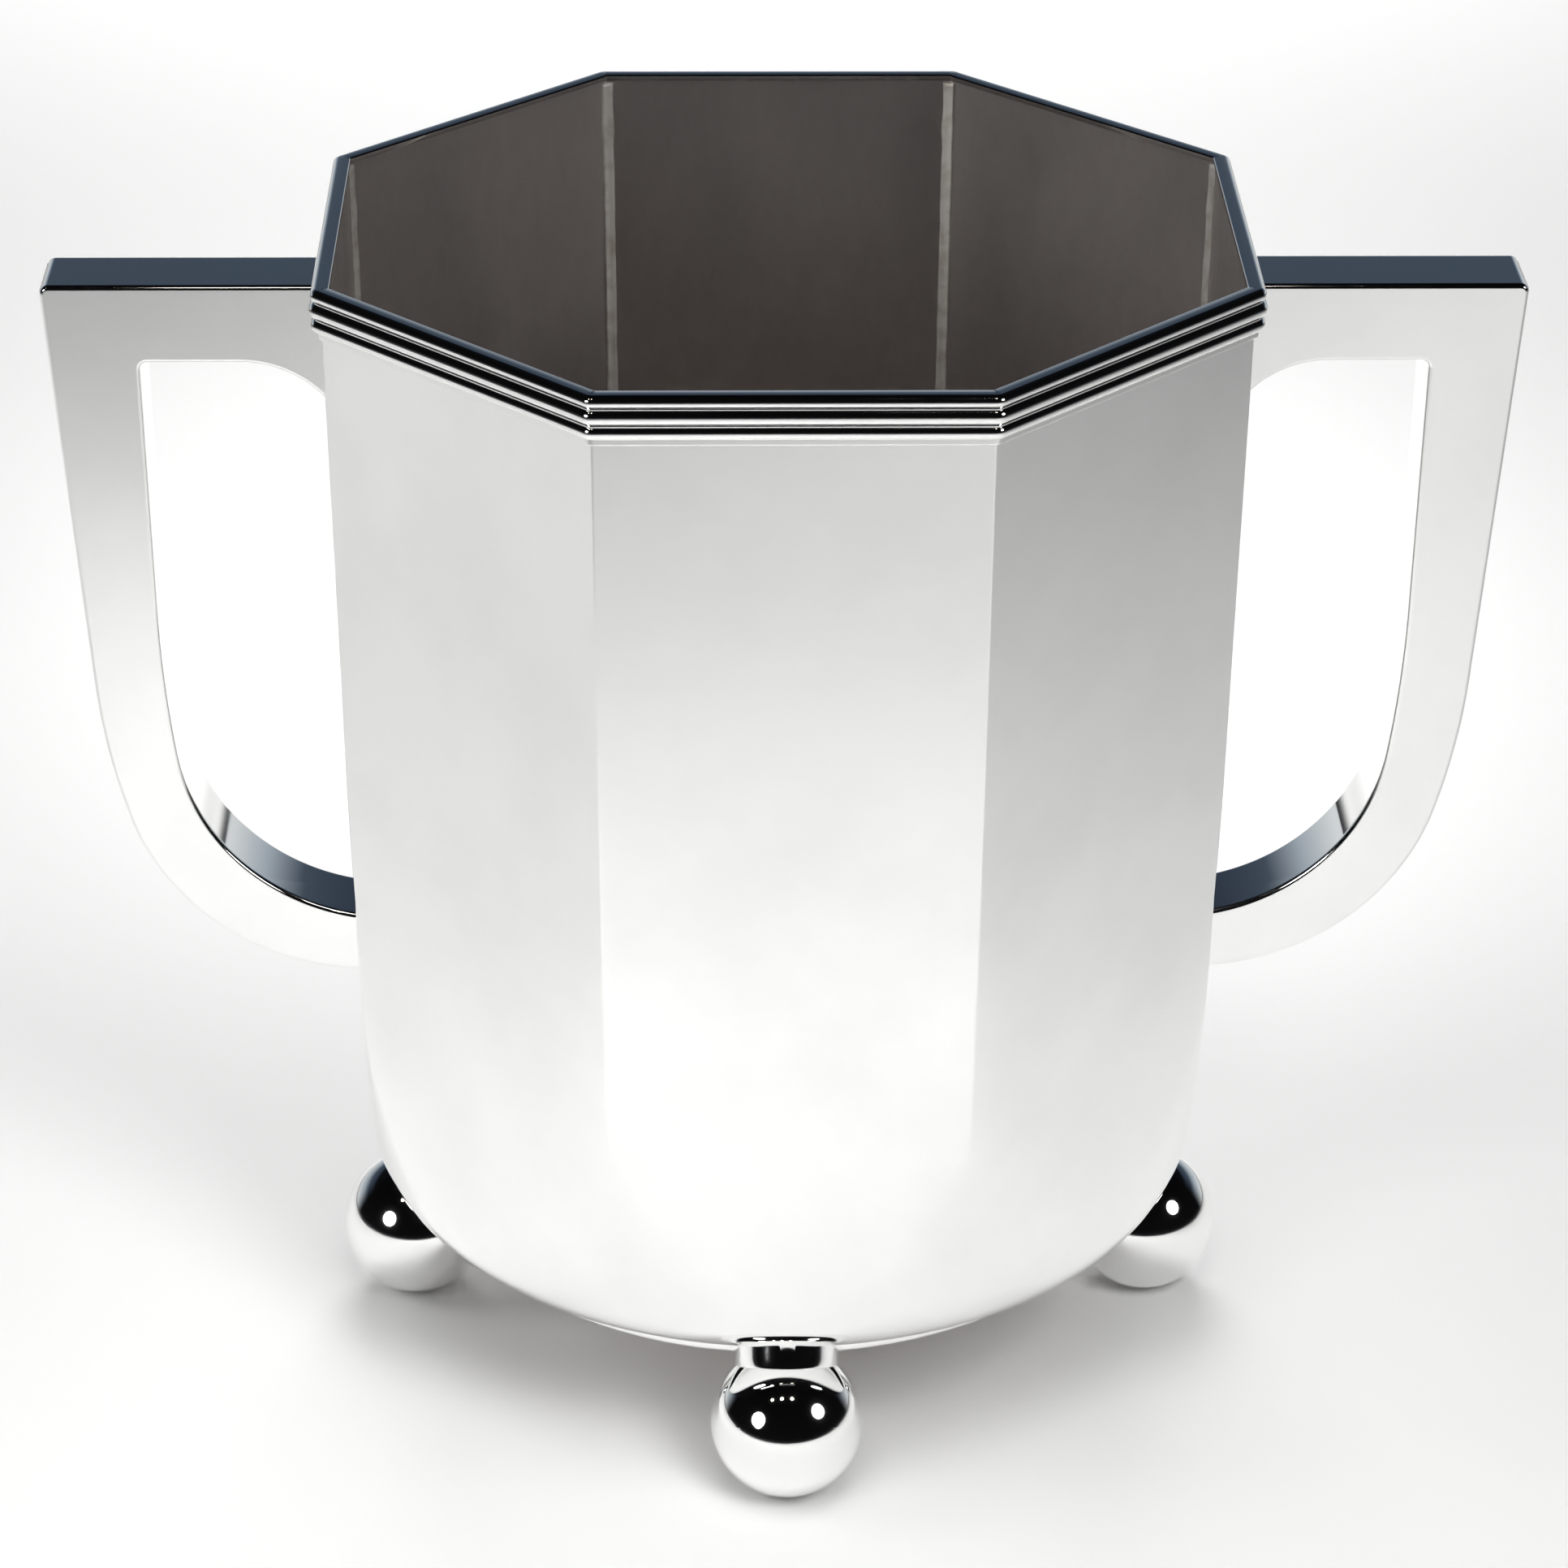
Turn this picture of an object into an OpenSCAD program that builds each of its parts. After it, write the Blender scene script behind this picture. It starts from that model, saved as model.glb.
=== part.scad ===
// Octagonal champagne bucket in sheet silver, with two hollow strap handles and four ball feet.
// Origin: on the table, at the centre of the bucket. +Z up, handles along X, a flat side facing -Y.

/* [Bucket] */
// Height of the rim above the table
rim_top = 268; // [256:1:280]
// Width of the rim across its flats
rim_flats = 200; // [198:1:203]
// Width of the eight-sided wall across its flats, just under the rim
wall_flats = 195.6; // [194:0.2:196.4]
// Inward lean of each wall panel towards the foot, in degrees
wall_lean = 0.96; // [0.6:0.02:1.2]
// Thickness of the sheet that the wall and floor are made of
wall_sheet = 1.4; // [1.2:0.1:2]

/* [Curved foot of the wall] */
// How far below the rim the corners begin to round away
curl_start = 145; // [135:1:150]
// How far below the rim the flat underside lies
underside_drop = 234.4; // [233:0.2:236]
// Large radius that turns the corners in
curl_large_r = 350; // [320:5:380]
// Small radius that turns the wall under
curl_small_r = 19; // [16:1:21]

/* [Rim moulding] */
// Height of the reeded moulding
rim_h = 11; // [10.5:0.1:12]
// Radius of the top, middle and lower reeds
reed_r = [1.45, 1.9, 1.6]; // [1.2:0.05:2]
// How far the middle reed stands out past the other two
middle_reed_out = 0.35; // [0.1:0.05:0.5]

/* [Handles] */
// Reach of the handle from the bucket's axis to its outer top corner
handle_reach = 160.5; // [156:0.5:166]
// Thickness of the handle, front to back
handle_t = 18.5; // [16:0.5:21]
// Thickness of the sheet that the handles are made of
handle_sheet = 1.2; // [0.8:0.1:1.6]
// Depth of the handle's top arm
top_arm_h = 17.7; // [16:0.1:20]
// Inward lean of the outer edge of the leg, in degrees
leg_lean = 4.18; // [3.5:0.02:5]

/* [Feet] */
// Diameter of each ball
ball_d = 34; // [32:0.5:35]
// Distance of each ball from the bucket's axis
foot_radius = 86.2; // [85:0.1:87]
// Thickness of the sheet that the balls are raised from
ball_sheet = 1.2; // [0.8:0.1:1.6]
// Diameter of the worn flat that each ball stands on
foot_flat_d = 6; // [4:0.5:8]

/* [Hidden] */
$fn = 96;
SIDES = ["right", "back_right", "back", "back_left", "left", "front_left", "front", "front_right"];
FOOT_SIDES = [0, 2, 4, 6]; // the sides that have a foot
HANDS = ["right", "left"];
HANDLE_PIECES = ["front_cheek", "back_cheek", "top_plate", "outer_band", "inner_band"];

reach = 300; // longer than anything in the object, for cutting blocks
half_side = 22.5; // half of the angle that one side of the octagon takes up
wall_a = wall_flats / 2; // distance from the axis to a panel, under the rim
rim_a = rim_flats / 2; // distance from the axis to the outside of the reeds
wall_top = rim_top - rim_h; // height at which wall_flats is measured
cap_t = 1.3; // thickness of the strip that covers the top edge of the wall
panel_top = rim_top - cap_t;
polished = [0.82, 0.83, 0.85];
bright = [0.9, 0.91, 0.92];
satin = [0.5, 0.49, 0.48];
solder = [0.72, 0.7, 0.66];

// The curl: two arcs, tangent to each other, that start at a corner and end flat underneath.
underside_z = rim_top - underside_drop;
curl_z = rim_top - curl_start;
curl_corner_r = (wall_a - (wall_top - curl_z) * tan(wall_lean)) / cos(half_side);
join_angle = asin((curl_z - underside_z - curl_small_r) / (curl_large_r - curl_small_r));
floor_r = curl_corner_r - curl_large_r + (curl_large_r - curl_small_r) * cos(join_angle);
join_z = curl_z - curl_large_r * sin(join_angle);

// Rim moulding
lip_in = wall_sheet + 0.4; // how far the moulding's inner edge lies inside the wall's outer face
backing_t = 1; // thickness of the flat strip behind the reeds
reed_a = [rim_a - reed_r[0], rim_a + middle_reed_out - reed_r[1], rim_a - reed_r[2]];
reed_pitch = (rim_h - 1.4) / (reed_r[0] + reed_r[1] + reed_r[2]) / 2; // reeds overlap a little
reed_z = [
    rim_top - reed_r[0] * reed_pitch * 1.04,
    rim_top - (2 * reed_r[0] + reed_r[1]) * reed_pitch,
    rim_top - (2 * reed_r[0] + 2 * reed_r[1] + reed_r[2]) * reed_pitch
];

// Corner seams
seam_leg = 1.5; // width of the solder fillet along each panel
seam_top = rim_top - 3;
seam_bottom = curl_z + 4;
seam_block = 30; // block that a seam is cut from

// Base ring
ring_outer_r = 78.6;
ring_inner_r = 71.5;
ring_h = 4.8;

// Handle outline. Each edge is a straight leg, then two arcs that sweep in to the wall.
handle_top = rim_top - 11.5;
root_x = 86; // the handles' plates start inside the wall and are cut to its face
outer_leg_l = 94.3;
outer_arc_r = [159.3, 55.5];
outer_arc_turn = 12.2;
gap_top = handle_top - top_arm_h;
gap_leg_x = handle_reach - 20.8;
gap_lean = 0.98;
gap_leg_l = 59.3;
gap_arc_r = [290.7, 47.4];
gap_arc_turn = 7.1;
shoulder_r = 24; // radius that blends the top arm into the wall
shoulder_x = 118.2;
shoulder_steps = 12;
arc_steps = [6, 20];

// Feet
ball_r = ball_d / 2;
foot_flat_r = foot_flat_d / 2;
ball_z = sqrt(ball_r * ball_r - foot_flat_r * foot_flat_r);
neck_tilt = 5.5; // the neck leans in towards the bucket's axis
neck_r = 10.6; // radius of the neck at its waist
neck_waist = 16.6; // distance of the waist from the ball's centre
neck_crown = [[neck_r, 20], [9.3, 22.5], [6, 24.5], [0, 25.5]]; // the neck's domed top, side to axis
neck_join_r = 13.1; // radius at which the neck leaves the ball
neck_join = sqrt(ball_r * ball_r - neck_join_r * neck_join_r);

// ---- Wall ----

// Turns what is drawn on the right-hand side to side k.
module on_side(k) {
    rotate([0, 0, 45 * k]) children();
}

// Everything on the axis side of the right-hand panel's face, moved in by inset.
module behind_panel(inset = 0) {
    translate([wall_a, 0, wall_top])
        rotate([0, wall_lean, 0])
            translate([-reach - inset, -reach / 2, -reach])
                cube([reach, reach, 2 * reach]);
}

// The eighth of the plan that belongs to one side.
module wedge() {
    linear_extrude(height = reach)
        polygon([[0, 0], [reach, -reach * tan(half_side)], [reach, reach * tan(half_side)]]);
}

// Section of the curl, from the axis outwards.
module curl_section(inset = 0) {
    big_r = curl_large_r - inset;
    small_r = curl_small_r - inset;
    intersection() {
        translate([curl_corner_r - curl_large_r, curl_z]) circle(r = big_r, $fn = 360);
        translate([0, join_z + inset * sin(join_angle)])
            square([curl_corner_r + 10, curl_z - join_z - inset * sin(join_angle)]);
    }
    translate([0, underside_z + inset])
        square([floor_r, join_z - underside_z + inset * (sin(join_angle) - 1)]);
    intersection() {
        translate([floor_r, underside_z + curl_small_r]) circle(r = small_r);
        translate([floor_r - 1, underside_z + inset])
            square([curl_small_r + 2, join_z - underside_z + inset * (sin(join_angle) - 1)]);
    }
}

// Solid of revolution inside the curl, open above the height where the curl starts.
module curl_bowl(inset = 0) {
    rotate_extrude() curl_section(inset);
    translate([0, 0, curl_z]) cylinder(r = reach / 2, h = reach);
}

// One side of the bucket: a flat sheet whose foot is turned in and under.
module wall_panel(k) {
    color(polished) on_side(k)
        difference() {
            intersection() {
                wedge();
                behind_panel();
                curl_bowl();
                cylinder(r = reach, h = panel_top);
            }
            intersection() {
                behind_panel(wall_sheet);
                curl_bowl(wall_sheet);
            }
            cylinder(r = floor_r, h = underside_z + 2 * wall_sheet);
        }
}

// Solder run down the inside of the corner between a panel and the next one.
module corner_seam() {
    corner_a = (wall_a - wall_sheet) / cos(half_side);
    chord_back = seam_leg * sin(half_side);
    difference() {
        intersection() {
            behind_panel(wall_sheet);
            on_side(1) behind_panel(wall_sheet);
            rotate([0, 0, half_side])
                translate([corner_a - seam_block / 2, -seam_block / 2, seam_bottom])
                    cube([seam_block, seam_block, seam_top - seam_bottom]);
        }
        rotate([0, 0, half_side])
            translate([corner_a - chord_back, 0, wall_top])
                rotate([0, atan(tan(wall_lean) / cos(half_side)), 0])
                    translate([-reach, -reach / 2, -reach])
                        cube([reach, reach, 2 * reach]);
    }
}

module corner_seams() {
    color(solder) for (k = [0:7]) on_side(k) corner_seam();
}

// Flat floor, set into the turned-in feet of the panels.
module bottom_plate() {
    color(satin) translate([0, 0, underside_z]) cylinder(r = floor_r, h = wall_sheet);
}

// Wire that backs the seam between the floor and the panels, let in around the feet.
module base_ring() {
    color(polished)
        difference() {
            translate([0, 0, underside_z - ring_h]) cylinder(r = ring_outer_r, h = ring_h);
            cylinder(r = ring_inner_r, h = reach);
            for (k = FOOT_SIDES) on_side(k) foot_solid();
        }
}

// ---- Rim ----

// Section of the moulding: a strip over the wall's edge, a backing strip and three reeds.
module moulding_section() {
    translate([wall_a - lip_in, rim_top - cap_t]) square([reed_a[0] - wall_a + lip_in, cap_t]);
    translate([wall_a, wall_top]) square([backing_t, rim_h]);
    for (i = [0:2]) translate([reed_a[i], reed_z[i]]) circle(r = reed_r[i], $fn = 48);
}

// One straight length of moulding, mitred at both ends and fitted to the leaning panel.
module rim_moulding(k) {
    color(bright) on_side(k)
        difference() {
            intersection() {
                wedge();
                translate([0, reach / 2, 0])
                    rotate([90, 0, 0])
                        linear_extrude(height = reach) moulding_section();
            }
            intersection() {
                behind_panel();
                cylinder(r = reach, h = panel_top);
            }
        }
}

// ---- Handles ----

function arc_points(centre, r, from, to, steps) =
    [for (i = [0:steps]) let (t = from + (to - from) * i / steps) centre + r * [cos(t), -sin(t)]];

// Points down one edge of a handle, from the top of its leg to the wall. A positive inset moves
// the edge in towards the arcs' centres, and rise lifts the first point.
function leg_points(x, z, lean, leg_l, arc_r, turn, inset, rise = 0) =
    let (
        leg_end = [x - leg_l * sin(lean), z - leg_l * cos(lean)],
        centre_1 = leg_end + arc_r[0] * [-cos(lean), sin(lean)],
        mid = lean + turn,
        centre_2 = centre_1 + (arc_r[0] - arc_r[1]) * [cos(mid), -sin(mid)]
    )
    concat(
        [[x - inset / cos(lean), z + rise]],
        arc_points(centre_1, arc_r[0] - inset, lean, mid, arc_steps[0]),
        arc_points(centre_2, arc_r[1] - inset, mid, 90, arc_steps[1])
    );

// The whole face of a handle, with no gap.
module handle_face(inset = 0) {
    edge = leg_points(handle_reach, handle_top, leg_lean, outer_leg_l, outer_arc_r, outer_arc_turn, inset);
    polygon(concat([[root_x, handle_top]], edge, [[root_x, edge[len(edge) - 1][1]]]));
}

// The finger gap. A negative inset makes it larger.
module handle_gap(inset = 0) {
    edge = leg_points(gap_leg_x, gap_top, gap_lean, gap_leg_l, gap_arc_r, gap_arc_turn, inset, -inset);
    shoulder = arc_points([shoulder_x, gap_top - shoulder_r], shoulder_r - inset, 180, 270, shoulder_steps);
    polygon(concat(
        [[root_x, gap_top - shoulder_r]],
        shoulder,
        edge,
        [[root_x, edge[len(edge) - 1][1]]]
    ));
}

// A plate standing in the plane of the handle, between two distances front to back.
module upright(y_from, y_to) {
    translate([0, y_to, 0]) rotate([90, 0, 0]) linear_extrude(height = y_to - y_from) children();
}

module cut_to_wall() {
    difference() {
        children();
        behind_panel();
    }
}

inner_y = handle_t / 2 - handle_sheet; // half of the hollow between the cheeks

module cheek(y_from) {
    cut_to_wall() upright(y_from, y_from + handle_sheet) difference() {
        handle_face();
        handle_gap();
    }
}

module handle_piece(piece) {
    if (piece == "front_cheek") cheek(-handle_t / 2);
    if (piece == "back_cheek") cheek(inner_y);
    if (piece == "top_plate")
        cut_to_wall() upright(-inner_y, inner_y) intersection() {
            handle_face();
            translate([0, handle_top - handle_sheet]) square([reach, handle_sheet]);
        }
    if (piece == "outer_band")
        cut_to_wall() upright(-inner_y, inner_y) difference() {
            handle_face();
            handle_face(handle_sheet);
            translate([0, handle_top - handle_sheet]) square([reach, handle_sheet]);
        }
    if (piece == "inner_band")
        cut_to_wall() upright(-inner_y, inner_y) difference() {
            handle_gap(-handle_sheet);
            handle_gap();
        }
}

module handle_part(hand, piece) {
    color(polished) mirror([hand == "left" ? 1 : 0, 0, 0]) handle_piece(piece);
}

// ---- Feet ----

// Half section of a ball.
module ball_section(inset = 0) {
    intersection() {
        circle(r = ball_r - inset);
        translate([0, -ball_r]) square([ball_r, 2 * ball_r]);
    }
}

// Half section of a waisted neck, drawn from the ball's centre.
module neck_section(inset = 0) {
    waist_r = neck_r - inset;
    join_r = neck_join_r * (ball_r - inset) / ball_r;
    join = neck_join * (ball_r - inset) / ball_r;
    crown = [for (p = neck_crown) [max(p[0] - inset, 0), p[1] - inset]];
    difference() {
        polygon(concat([[0, join], [join_r, join], [join_r, neck_waist], [waist_r, neck_waist]], crown));
        translate([waist_r + neck_waist - join, neck_waist]) circle(r = neck_waist - join);
    }
}

// The right-hand foot, filled in. An inset gives the hollow inside it.
module foot_solid(inset = 0) {
    translate([foot_radius, 0, ball_z]) {
        difference() {
            rotate_extrude() ball_section(inset);
            translate([0, 0, inset - ball_z - ball_d]) cylinder(r = ball_d, h = ball_d);
        }
        rotate([0, -neck_tilt, 0]) rotate_extrude() neck_section(inset);
    }
}

// Upper half of a ball with its neck, cut to the curl of the wall.
module foot_upper(k) {
    color(bright) on_side(k)
        difference() {
            foot_solid();
            foot_solid(ball_sheet);
            cylinder(r = reach, h = ball_z);
            intersection() {
                behind_panel();
                curl_bowl();
            }
        }
}

// Lower half of a ball.
module foot_lower(k) {
    color(bright) on_side(k)
        difference() {
            foot_solid();
            foot_solid(ball_sheet);
            translate([0, 0, ball_z]) cylinder(r = reach, h = reach);
        }
}

for (k = [0:7]) wall_panel(k);
corner_seams();
bottom_plate();
base_ring();
for (k = [0:7]) rim_moulding(k);
for (h = HANDS) for (p = HANDLE_PIECES) handle_part(h, p);
for (k = FOOT_SIDES) foot_upper(k);
for (k = FOOT_SIDES) foot_lower(k);
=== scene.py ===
"""Looks of an eight-sided champagne bucket in sheet silver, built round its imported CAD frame.

The bucket stands at the origin with +Z up and its handles along X. Every length is in metres.
"""
import sys
import logging
import math
from dataclasses import dataclass
from enum import Enum

import bmesh
import bpy
import numpy as np
from mathutils import Matrix, Vector, noise


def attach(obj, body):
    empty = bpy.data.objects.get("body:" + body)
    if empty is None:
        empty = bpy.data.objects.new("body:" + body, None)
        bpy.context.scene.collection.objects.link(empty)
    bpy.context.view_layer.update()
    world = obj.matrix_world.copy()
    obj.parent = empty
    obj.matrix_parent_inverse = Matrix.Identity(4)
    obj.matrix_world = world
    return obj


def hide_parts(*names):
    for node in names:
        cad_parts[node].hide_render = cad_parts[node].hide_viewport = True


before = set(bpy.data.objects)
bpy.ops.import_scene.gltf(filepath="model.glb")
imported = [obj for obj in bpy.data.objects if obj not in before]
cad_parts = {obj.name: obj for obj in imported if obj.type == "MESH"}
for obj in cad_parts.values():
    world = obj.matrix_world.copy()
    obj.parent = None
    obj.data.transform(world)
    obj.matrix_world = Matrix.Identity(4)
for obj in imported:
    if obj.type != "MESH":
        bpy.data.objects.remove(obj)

LOG = logging.getLogger("champagne_bucket")
MM = 0.001
HALF_SIDE = math.radians(22.5)
SIDE_TURN = math.radians(45)
SIDES = ("right", "back_right", "back", "back_left", "left", "front_left", "front", "front_right")
FOOT_SIDES = (0, 2, 4, 6)
SPIN_RADIUS = 10 * MM  # radius of the circle that a turned outline is carried round
MERGE_WITHIN = 0.001 * MM  # points closer than this are doubles
NOT_ZERO = 1e-6  # the least that a node may divide by
SHARP_SHEET = math.radians(30)  # edges that turn more than this stay sharp
SHARP_TURNED = math.radians(35)


class Slot(Enum):
    """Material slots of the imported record."""

    POLISHED = "polished_silver"
    SATIN = "satin_silver"
    SOLDER = "silver_solder"


class Hand(Enum):
    """The two handles, each with the direction in which it lies along X."""

    RIGHT = 1
    LEFT = -1


# ---------------------------------------------------------------- helpers


def linear(hex_colour: str) -> tuple[float, float, float, float]:
    """Turns an sRGB hex colour into the linear values that Blender's sockets take.

    Args:
        hex_colour: Six hex digits, such as "F2EFE9".

    Returns:
        Linear red, green, blue and an alpha of 1.
    """
    parts = [int(hex_colour[i : i + 2], 16) / 255 for i in (0, 2, 4)]
    red, green, blue = (c / 12.92 if c <= 0.04045 else ((c + 0.055) / 1.055) ** 2.4 for c in parts)
    return (red, green, blue, 1.0)


def add_node(tree: bpy.types.NodeTree, kind: str, inputs: dict | None = None, **settings) -> bpy.types.Node:
    """Adds one node, sets it up and links it.

    Args:
        tree: The node tree that the node joins.
        kind: Blender's name of the node type.
        inputs: Input name or number to a value, or to the output socket that feeds it.
        **settings: The node's own settings, such as its operation.

    Returns:
        The new node.
    """
    node = tree.nodes.new(kind)
    for name, value in settings.items():
        setattr(node, name, value)
    for key, value in (inputs or {}).items():
        if isinstance(value, bpy.types.NodeSocket):
            tree.links.new(value, node.inputs[key])
        else:
            node.inputs[key].default_value = value
    return node


def set_stops(ramp: bpy.types.Node, stops: list[tuple[float, tuple]]) -> bpy.types.Node:
    """Gives a colour ramp its stops.

    Args:
        ramp: A Color Ramp node, which has two stops to begin with.
        stops: Position and linear colour of each stop, in order.

    Returns:
        The same node.
    """
    elements = ramp.color_ramp.elements
    while len(elements) < len(stops):
        elements.new(1.0)
    for element, (position, colour) in zip(elements, stops):
        element.position = position
        element.color = colour
    return ramp


def new_tree(name: str, sizes: dict[str, tuple[str, float]]) -> tuple[bpy.types.NodeTree, bpy.types.Node]:
    """Starts a Geometry Nodes tree with named inputs for its sizes and its material.

    Args:
        name: The tree's name.
        sizes: Input name to (socket type, default value).

    Returns:
        The tree and its Group Input node.
    """
    tree = bpy.data.node_groups.new(name, "GeometryNodeTree")
    face = tree.interface
    face.new_socket("Geometry", in_out="OUTPUT", socket_type="NodeSocketGeometry")
    face.new_socket("Geometry", in_out="INPUT", socket_type="NodeSocketGeometry")
    for label, (kind, value) in sizes.items():
        face.new_socket(label, in_out="INPUT", socket_type=kind).default_value = value
    face.new_socket("Material", in_out="INPUT", socket_type="NodeSocketMaterial")
    return tree, tree.nodes.new("NodeGroupInput")


def end_tree(tree: bpy.types.NodeTree, start: bpy.types.Node, geometry: bpy.types.NodeSocket) -> None:
    """Closes a Geometry Nodes tree: merges doubles, smooths, realises and sets the material.

    Args:
        tree: The tree.
        start: Its Group Input node.
        geometry: The socket that gives the finished shape.
    """
    real = add_node(tree, "GeometryNodeRealizeInstances", {0: geometry})
    merged = add_node(
        tree, "GeometryNodeMergeByDistance", {"Geometry": real.outputs[0], "Distance": MERGE_WITHIN}
    )
    smooth = add_node(tree, "GeometryNodeSetShadeSmooth", {0: merged.outputs[0]})
    dressed = add_node(
        tree, "GeometryNodeSetMaterial", {0: smooth.outputs[0], "Material": start.outputs["Material"]}
    )
    add_node(tree, "NodeGroupOutput", {0: dressed.outputs[0]})


def calculate(tree: bpy.types.NodeTree, known: dict, steps: list[tuple]) -> None:
    """Adds a Math node for each step and keeps every result by name.

    Args:
        tree: The tree.
        known: Name to output socket; each step's result is added to it.
        steps: (result's name, Math operation, then names or numbers to work on).
    """
    for name, operation, *terms in steps:
        inputs = {i: known[term] if isinstance(term, str) else term for i, term in enumerate(terms)}
        known[name] = add_node(tree, "ShaderNodeMath", inputs, operation=operation).outputs[0]


def move_points(
    tree: bpy.types.NodeTree, start: bpy.types.Node, geometry: bpy.types.NodeSocket, steps: list[tuple],
) -> bpy.types.NodeSocket:
    """Moves every point of a shape to the x, y and z that Math nodes work out.

    Args:
        tree: The tree.
        start: Its Group Input node, whose inputs the steps may name.
        geometry: The socket that gives the shape.
        steps: As for calculate, from x, y and z and the tree's inputs to a new x, y and z.

    Returns:
        The socket that gives the moved shape.
    """
    place = add_node(tree, "GeometryNodeInputPosition").outputs[0]
    parts = add_node(tree, "ShaderNodeSeparateXYZ", {0: place}).outputs
    known = {socket.name: socket for socket in start.outputs}
    known |= {"x": parts["X"], "y": parts["Y"], "z": parts["Z"]}
    calculate(tree, known, steps)
    moved = add_node(tree, "ShaderNodeCombineXYZ", {"X": known["x"], "Y": known["y"], "Z": known["z"]})
    return add_node(
        tree, "GeometryNodeSetPosition", {"Geometry": geometry, "Position": moved.outputs[0]}
    ).outputs[0]


def turn_shape(
    tree: bpy.types.NodeTree, start: bpy.types.Node, geometry: bpy.types.NodeSocket,
) -> bpy.types.NodeSocket:
    """Turns a shape about the bucket's axis by the tree's Turn input.

    Args:
        tree: The tree.
        start: Its Group Input node.
        geometry: The socket that gives the shape.

    Returns:
        The socket that gives the turned shape.
    """
    spin = add_node(tree, "ShaderNodeCombineXYZ", {"Z": start.outputs["Turn"]})
    return add_node(
        tree, "GeometryNodeTransform", {"Geometry": geometry, "Rotation": spin.outputs[0]}
    ).outputs[0]


def add_object(name: str, data: bpy.types.ID) -> bpy.types.Object:
    """Puts a mesh, a light or a camera into the scene.

    Args:
        name: The object's name.
        data: What the object shows.

    Returns:
        The new object, at the origin.
    """
    obj = bpy.data.objects.new(name, data)
    bpy.context.scene.collection.objects.link(obj)
    return obj


def outline_object(name: str, points: list[tuple[float, float]], closed: bool) -> bpy.types.Object:
    """Makes an outline that a Geometry Nodes tree can sweep.

    Args:
        name: The object's name.
        points: (distance outwards, height), listed clockwise.
        closed: Whether the last point joins the first.

    Returns:
        An object with a mesh of edges, its heights turned down as Curve to Mesh expects.
    """
    count = len(points)
    edges = [(i, (i + 1) % count) for i in range(count if closed else count - 1)]
    mesh = bpy.data.meshes.new(name)
    mesh.from_pydata([(x, -z, 0) for x, z in points], edges, [])
    return add_object(name, mesh)


def run_tree(obj: bpy.types.Object, tree: bpy.types.NodeTree, material: bpy.types.Material, **sizes) -> None:
    """Runs a Geometry Nodes tree on an object and keeps the result as its plain mesh.

    Args:
        obj: The object whose mesh the tree starts from.
        tree: The tree.
        material: The material for its Material input.
        **sizes: Values of the named inputs, with spaces written as underscores.
    """
    modifier = obj.modifiers.new("shape", "NODES")
    modifier.node_group = tree
    values = {label.replace("_", " "): value for label, value in sizes.items()} | {"Material": material}
    for item in tree.interface.items_tree:
        if item.item_type == "SOCKET" and item.in_out == "INPUT" and item.name in values:
            modifier[item.identifier] = values[item.name]
    bake(obj)


def bake(obj: bpy.types.Object) -> None:
    """Swaps an object's mesh for what its modifiers make of it, and removes them.

    Args:
        obj: The object, which keeps its name.
    """
    bpy.context.view_layer.update()
    evaluated = obj.evaluated_get(bpy.context.evaluated_depsgraph_get())
    mesh = bpy.data.meshes.new_from_object(evaluated)
    obj.modifiers.clear()
    obj.data = mesh
    mesh.name = obj.name


def keep_piece(obj: bpy.types.Object, slot: Slot, *nodes: str) -> bpy.types.Object:
    """Hangs a finished piece under the root body and hides the CAD nodes that it stands for.

    Args:
        obj: The piece, in place at the origin.
        slot: The record's slot that its finish comes from; not used.
        *nodes: The CAD nodes that it stands for.

    Returns:
        The same object.
    """
    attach(obj, "root")
    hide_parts(*nodes)
    LOG.info("%s: %d faces, for %s", obj.name, len(obj.data.polygons), ", ".join(nodes))
    return obj


def arc(centre: tuple[float, float], radius: float, start: float, end: float, steps: int) -> list:
    """Points along an arc.

    Args:
        centre: The arc's centre.
        radius: Its radius.
        start: First angle, in degrees anticlockwise from the outward direction.
        end: Last angle, in degrees.
        steps: How many equal steps it takes.

    Returns:
        A list of steps + 1 points.
    """
    angles = [math.radians(start + (end - start) * i / steps) for i in range(steps + 1)]
    return [(centre[0] + radius * math.cos(a), centre[1] + radius * math.sin(a)) for a in angles]


# ---------------------------------------------------------------- finishes


def start_finish(name: str) -> tuple[bpy.types.Material, bpy.types.NodeTree, bpy.types.NodeSocket]:
    """Starts a material with an empty tree.

    Args:
        name: The material's name.

    Returns:
        The material, its tree, and the socket that gives Object coordinates.
    """
    material = bpy.data.materials.new(name)
    material.use_nodes = True
    tree = material.node_tree
    tree.nodes.clear()
    return material, tree, add_node(tree, "ShaderNodeTexCoord").outputs["Object"]


def end_finish(tree: bpy.types.NodeTree, colour: bpy.types.Node, roughness: bpy.types.NodeSocket | float,
               relief: bpy.types.Node) -> None:
    """Closes a metal's tree with its shader.

    Args:
        tree: The material's tree.
        colour: The node that gives the metal's colour.
        roughness: A value, or the socket that gives it.
        relief: The last Bump node.
    """
    shader = add_node(
        tree, "ShaderNodeBsdfPrincipled",
        {"Base Color": colour.outputs["Color"], "Metallic": 1.0, "Roughness": roughness,
         "Normal": relief.outputs[0]},
    )
    add_node(tree, "ShaderNodeOutputMaterial", {"Surface": shader.outputs[0]})


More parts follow.
